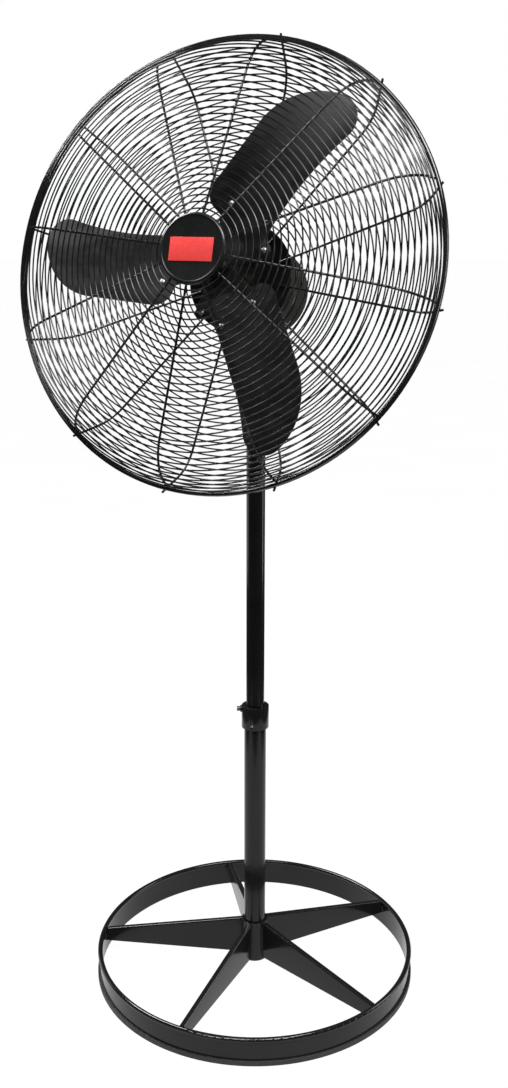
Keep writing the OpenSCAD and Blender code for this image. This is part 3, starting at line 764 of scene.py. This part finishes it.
def hand_knob(r, z0, z1, bore, bore_end, shank=None):
    """A lobed moulded knob from z0 to z1 with a bore for its bolt, or on its own shank."""
    h = z1 - z0
    lobes, depth = 6, 0.115
    m = r / (1 + depth)
    if shank:
        r_in, tip = shank
        start = [(0, tip), (r_in - 0.4 * MM, tip), (r_in, tip + 0.4 * MM), (r_in, z0)]
    else:
        start = [(0, bore_end), (bore, bore_end), (bore, z0 + 0.5 * MM), (bore + 0.5 * MM, z0)]
    body = [(0.52 * m, z0), (0.56 * m, z0 + 0.03 * h),
            (0.58 * m, z0 + 0.22 * h, lobes, 0.01), (0.66 * m, z0 + 0.31 * h, lobes, 0.05),
            (0.86 * m, z0 + 0.35 * h, lobes, depth * 0.9), (0.96 * m, z0 + 0.40 * h, lobes, depth),
            (m, z0 + 0.48 * h, lobes, depth), (m, z0 + 0.82 * h, lobes, depth),
            (0.97 * m, z0 + 0.90 * h, lobes, depth), (0.90 * m, z0 + 0.96 * h, lobes, depth),
            (0.78 * m, z0 + 0.99 * h, lobes, depth * 0.8), (0.55 * m, z0 + h, lobes, 0.03),
            (0.42 * m, z0 + h), (0.38 * m, z0 + 0.97 * h),
            (0.1 * m, z0 + 0.965 * h), (0, z0 + 0.965 * h)]
    return turned_solid(start + body, 120)


tk_lo, tk_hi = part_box("tilt_knob")
v, f = hand_knob((tk_hi.z - tk_lo.z) / 2, tk_lo.x, tk_hi.x, 6.05 * MM, tk_lo.x + 18.6 * MM)
piece("tilt_hand_knob", v, f, "tilt_lock", "knob_plastic", across, ["tilt_knob"], sharp=50)

lock = JOINTS["swivel_lock_turn"]
lock_place = along(Vector((0, 0, lock["pos_m"][2])), Vector(lock["axis"]))
sk_lo, sk_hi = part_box("swivel_screw")
v, f = hand_knob((sk_hi.x - sk_lo.x) / 2, sk_hi.y - 17 * MM, sk_hi.y, 0, 0, shank=(4 * MM, sk_lo.y))
piece("swivel_hand_screw", v, f, "swivel_lock", "knob_plastic", lock_place, ["swivel_screw"], sharp=50)

# ---------- motor ----------

for node in ("front_bell", "rear_bell"):
    bevelled(node, 0.5 * MM, 2)

screws = []
for points in loose_parts("shell_screws"):
    place, length = pin_frame(points, lambda c: FAN.to_3x3() @ Vector((*(FAN_INV @ c).xy, 0)))
    screws.append(moved(cross_screw(1.7 * MM, 3.6 * MM, 1.9 * MM, length), place))
v, f = joined(screws)
piece("bell_screws", v, f, "head", "zinc_steel", replaces=["shell_screws"])

dial_pts = fan_points("speed_knob")
dial_x, dial_y = (dial_pts.min(0)[:2] + dial_pts.max(0)[:2]) / 2
dial_back, dial_front = dial_pts[:, 2].min(), dial_pts[:, 2].max()
dial_place = FAN @ Matrix.Translation((dial_x, dial_y, dial_front)) @ Matrix.Rotation(math.pi, 4, "Y")
deep = dial_front - dial_back
foot = deep - 19 * MM
dial_top = foot + 16 * MM
skirt = [(0, 0), (3.6 * MM, 0), (4 * MM, 0.4 * MM), (4 * MM, foot + 1 * MM),
         (14.6 * MM, foot + 1 * MM), (15 * MM, foot + 1.4 * MM), (15 * MM, foot + 3.8 * MM),
         (14.2 * MM, foot + 4.8 * MM), (12.1 * MM, foot + 5.4 * MM),
         (12 * MM, foot + 6.2 * MM, KNURLS, KNURL_DEPTH), (11.7 * MM, foot + 13 * MM, KNURLS, KNURL_DEPTH),
         (11.2 * MM, foot + 15.2 * MM, KNURLS, KNURL_DEPTH / 2), (10.2 * MM, dial_top), (0, dial_top)]


def soft_box(lo, hi, r, cuts=4):
    """A box with rounded edges, by pushing a fine box towards rounded corners."""
    work = bmesh.new()
    bmesh.ops.create_cube(work, size=1.0)
    size = Vector(hi) - Vector(lo)
    for v in work.verts:
        v.co = Vector([lo[i] + (v.co[i] + 0.5) * size[i] for i in range(3)])
    bmesh.ops.bevel(work, geom=list(work.edges), offset=r, segments=cuts, profile=0.5, affect="EDGES")
    verts = [v.co.copy() for v in work.verts]
    faces = [tuple(v.index for v in face.verts) for face in work.faces]
    work.free()
    return verts, faces


v, f = joined([turned_solid(skirt, 96),
               soft_box((-2.2 * MM, -13.5 * MM, foot + 9 * MM), (2.2 * MM, 13.5 * MM, deep), 0.9 * MM)])
piece("speed_dial", v, f, "dial", "knob_plastic", dial_place, ["speed_knob"], sharp=40)

inlet_pts = fan_points("cord_inlet")
inlet_x, inlet_y = (inlet_pts.min(0)[:2] + inlet_pts.max(0)[:2]) / 2
inlet_back = inlet_pts[:, 2].min()
shell_back = fan_points("rear_bell")[:, 2].min()
out = shell_back - inlet_back
gland = [(3.7 * MM, -1 * MM), (7 * MM, -1 * MM), (7 * MM, 0.05 * MM),
         (9.5 * MM, 0.06 * MM, "hex"), (9.5 * MM, 4.4 * MM, "hex"), (8.9 * MM, 5.0 * MM)]
ridges = 5
for k in range(ridges):
    z = 5.2 * MM + (out - 6.0 * MM) * k / ridges
    r = 8.3 * MM - 1.7 * MM * k / ridges
    gland += [(r, z), (r, z + 1.1 * MM), (r - 0.9 * MM, z + 1.4 * MM), (r - 0.9 * MM, z + 1.8 * MM)]
gland += [(6.3 * MM, out - 0.8 * MM), (5.9 * MM, out), (4.3 * MM, out), (3.7 * MM, out - 0.6 * MM)]
inlet_place = FAN @ Matrix.Translation((inlet_x, inlet_y, shell_back)) @ Matrix.Rotation(math.pi, 4, "Y")
piece("cord_gland", *ring_solid(gland), "head", "black_rubber", inlet_place, ["cord_inlet"], sharp=38)

# ---------- rotor ----------

bevelled("blades", 0.45 * MM, 2)
bevelled("blade_hub", 0.6 * MM, 2)
rivets = []
spin_out = FAN.to_3x3() @ Vector((0, 0, 1))
for points in loose_parts("blade_rivets"):
    place, length = pin_frame(points, lambda c: spin_out)
    rivets.append(moved(pan_head(5.0 * MM, length, recess=False), place))
v, f = joined(rivets)
piece("rivet_heads", v, f, "rotor", "zinc_steel", replaces=["blade_rivets"])

# ---------- guard ----------

bevelled("guard_plate", 0.5 * MM, 2)
screws = []
for points in loose_parts("guard_plate_screws"):
    place, length = pin_frame(points, lambda c: spin_out)
    screws.append(moved(cross_screw(2.5 * MM, 5.0 * MM, 3.1 * MM, length), place))
v, f = joined(screws)
piece("guard_screws", v, f, "head", "zinc_steel", replaces=["guard_plate_screws"])


def ring_centres(node, wire):
    """(radius, height) in the fan frame of each ring wire of a node, outwards."""
    pts = fan_points(node)
    flat = np.stack([np.hypot(pts[:, 0], pts[:, 1]), pts[:, 2]], 1)
    found = []
    while len(flat):
        near = np.abs(flat - flat[flat[:, 0].argmin()]).max(1) < 2.4 * wire
        group = flat[near]
        found.append((group.min(0) + group.max(0)) / 2)
        flat = flat[~near]
    return np.array(found)


RIBS = 12
WIRE = 1.4 * MM
WELD_SIZE = (2.5 * MM, 1.9 * MM, 1.25 * MM)


def rib_phase(node):
    """The angle of the first of a node's ribs."""
    pts = fan_points(node)
    r = np.hypot(pts[:, 0], pts[:, 1])
    use = r > 0.3 * r.max()
    return phase(np.arctan2(pts[:, 1], pts[:, 0])[use], RIBS)


def nugget(place, size):
    """A small flattened weld between two crossing wires."""
    work = bmesh.new()
    bmesh.ops.create_icosphere(work, subdivisions=1, radius=1.0)
    verts = [place @ Vector((v.co.x * size[0], v.co.y * size[1], v.co.z * size[2])) for v in work.verts]
    faces = [tuple(v.index for v in face.verts) for face in work.faces]
    work.free()
    return verts, faces


def crossing_welds(nodes, ribs, forward):
    """The welds where each ring wire of the nodes crosses each rib; forward is 1 in front, -1 behind."""
    centres = np.concatenate([ring_centres(n, WIRE) for n in nodes])
    order = [int(i) for i in np.argsort(centres[:, 0] + (-forward) * centres[:, 1])]
    centres = centres[order]
    start = rib_phase(ribs)
    welds = []
    for i, (r, z) in enumerate(centres):
        before, after = centres[max(i - 1, 0)], centres[min(i + 1, len(centres) - 1)]
        t = (after - before) / np.linalg.norm(after - before)
        inward = np.array((-abs(t[1]), -forward * abs(t[0])))
        contact = np.array((r, z)) + inward * WIRE * 1.05
        for k in range(RIBS):
            a = start + 2 * math.pi * k / RIBS
            radial = Vector((math.cos(a), math.sin(a), 0))
            ahead = Vector((0, 0, 1))
            normal = (radial * inward[0] + ahead * inward[1]).normalized()
            lengthways = Vector((-math.sin(a), math.cos(a), 0))
            at = radial * contact[0] + ahead * contact[1]
            place = FAN @ basis(lengthways, normal.cross(lengthways), normal, at)
            welds.append(nugget(place, WELD_SIZE))
    return welds


for half, forward in (("front", 1), ("rear", -1)):
    rings = (half + "_inner_rings", half + "_outer_rings")
    v, f = joined(crossing_welds(rings, half + "_ribs", forward))
    piece(half + "_wire_welds", v, f, "head", "guard_enamel", sharp=180)

# ---------- cap and badge ----------

cap_pts = fan_points("cap")
cap_r = float(np.hypot(cap_pts[:, 0], cap_pts[:, 1]).max())
cap_back, cap_front = float(cap_pts[:, 2].min()), float(cap_pts[:, 2].max())
face_z = float(fan_points("badge_panel")[:, 2].min()) - WELD_GAP
profile = ([(0, cap_back), (cap_r - 0.8 * MM, cap_back),
            (cap_r, cap_back + 0.8 * MM), (cap_r, cap_back + 3.4 * MM)]
           + arc(cap_r - 4.4 * MM, cap_front - 4.4 * MM, 4.4 * MM, 0, 80, 10)
           + arc(cap_r - 5.0 * MM, cap_front - 0.9 * MM, 0.9 * MM, 70, 180, 6)
           + [(cap_r - 6.2 * MM, face_z + 0.12 * MM), (cap_r - 7.2 * MM, face_z), (0, face_z)])
piece("moulded_cap", *turned_solid(profile, 160), "head", "cap_plastic", FAN, ["cap"], sharp=30)
bevelled("badge_panel", 0.35 * MM, 3)

# ---------- floor, light, camera ----------

CAMERA_AT = Vector((0.9523, -2.2304, 1.6456))
LOOK = Vector((-0.380, 0.8865, -0.2642)).normalized()
ROLL = math.radians(0.14)


def stage_sheet(name, half_width, front, behind, height, glossy):
    """A pale sheet under the fan, square to the camera's bearing."""
    away = Vector((LOOK.x, LOOK.y, 0)).normalized()
    across = Vector((away.y, -away.x, 0))
    corners = [away * k + across * j for k, j in ((-front, -half_width), (-front, half_width),
                                                 (behind, half_width), (behind, -half_width))]
    mesh = bpy.data.meshes.new(name)
    mesh.from_pydata([(c.x, c.y, height) for c in corners], [], [(0, 1, 2, 3)])
    n = Net(name, (0.03, 0.03, 0.03), 0.8)
    n.put("Specular IOR Level", 0.0)
    cloud = n.between(n.noise(1.5, 3.0), 0.3, 0.7, 0.0, 1.0)
    n.put("Base Color", n.mix(cloud, (0.027, 0.027, 0.027), (0.03, 0.03, 0.03)))
    n.put("Emission Color", n.mix(cloud, (0.99, 0.99, 0.99), (1.0, 1.0, 1.0)))
    n.put("Emission Strength", 0.985)
    mesh.materials.append(n.mat)
    sheet = bpy.data.objects.new(name, mesh)
    sheet.visible_glossy = glossy
    bpy.context.scene.collection.objects.link(sheet)


stage_sheet("studio_paper", 1.15, 1.1, 1.4, 0.0, True)
stage_sheet("studio_floor", 40.0, 1.3, 40.0, -0.5 * MM, False)


def studio_world(seen, sky, in_gloss):
    """Even white surroundings, as strong as seen for the camera, sky for matt light, in_gloss for gloss."""
    world = bpy.data.worlds.new("studio")
    bpy.context.scene.world = world
    world.use_nodes = True
    t = world.node_tree
    t.nodes.clear()
    path = t.nodes.new("ShaderNodeLightPath")
    lit = None
    for ray, strength in ((None, sky), ("Is Glossy Ray", in_gloss), ("Is Camera Ray", seen)):
        plain = t.nodes.new("ShaderNodeBackground")
        plain.inputs["Color"].default_value = (1, 1, 1, 1)
        plain.inputs["Strength"].default_value = strength
        if ray is None:
            lit = plain.outputs[0]
            continue
        mix = t.nodes.new("ShaderNodeMixShader")
        t.links.new(path.outputs[ray], mix.inputs[0])
        t.links.new(lit, mix.inputs[1])
        t.links.new(plain.outputs[0], mix.inputs[2])
        lit = mix.outputs[0]
    t.links.new(lit, t.nodes.new("ShaderNodeOutputWorld").inputs["Surface"])


studio_world(1.0, 0.3, 0.05)


def bank(name, azimuth, elevation, distance, aim, width, height, glow):
    """A soft light of a given brightness, at a bearing from +X about +Z seen from its aiming point."""
    a, e = math.radians(azimuth), math.radians(elevation)
    away = Vector((math.cos(a) * math.cos(e), math.sin(a) * math.cos(e), math.sin(e)))
    light = bpy.data.lights.new(name, "AREA")
    light.shape = "RECTANGLE"
    light.size, light.size_y = width, height
    light.energy = glow * math.pi * width * height
    thing = bpy.data.objects.new(name, light)
    bpy.context.scene.collection.objects.link(thing)
    thing.location = Vector(aim) + away * distance
    thing.rotation_euler = away.to_track_quat("Z", "Y").to_euler()


HEAD = (0.0, -0.15, 1.4)
BASE = (0.0, -0.2, 0.3)
LOW = (0.0, 0.0, 0.65)
bank("left_key", 172, 43, 2.7, HEAD, 0.9, 1.5, 44)
bank("top_left_bank", -80, 62, 5.0, BASE, 1.7, 1.3, 20)
bank("top_right_bank", -22, 60, 5.0, BASE, 1.9, 1.3, 24)
bank("right_bank", 30, 6, 3.0, HEAD, 0.7, 1.6, 9)
bank("right_low_wall", 33, 0, 3.0, LOW, 0.8, 1.3, 3.2)
bank("left_low_wall", 175, 0, 3.0, LOW, 1.4, 1.3, 1.8)

SENSOR = 36.0
LENS = 1.12592 * SENSOR
camera = bpy.data.cameras.new("photo_camera")
camera.sensor_width = SENSOR
camera.lens = LENS
camera.clip_end = 200.0
seat = bpy.data.objects.new("photo_camera", camera)
bpy.context.scene.collection.objects.link(seat)
back = -LOOK
right = Vector((0, 0, 1)).cross(back).normalized()
up = back.cross(right)
level_right, level_up = right, up
right = level_right * math.cos(ROLL) + level_up * math.sin(ROLL)
up = level_up * math.cos(ROLL) - level_right * math.sin(ROLL)
seat.matrix_world = basis(right, up, back, CAMERA_AT)
bpy.context.scene.camera = seat
bpy.context.scene.view_settings.view_transform = "Standard"
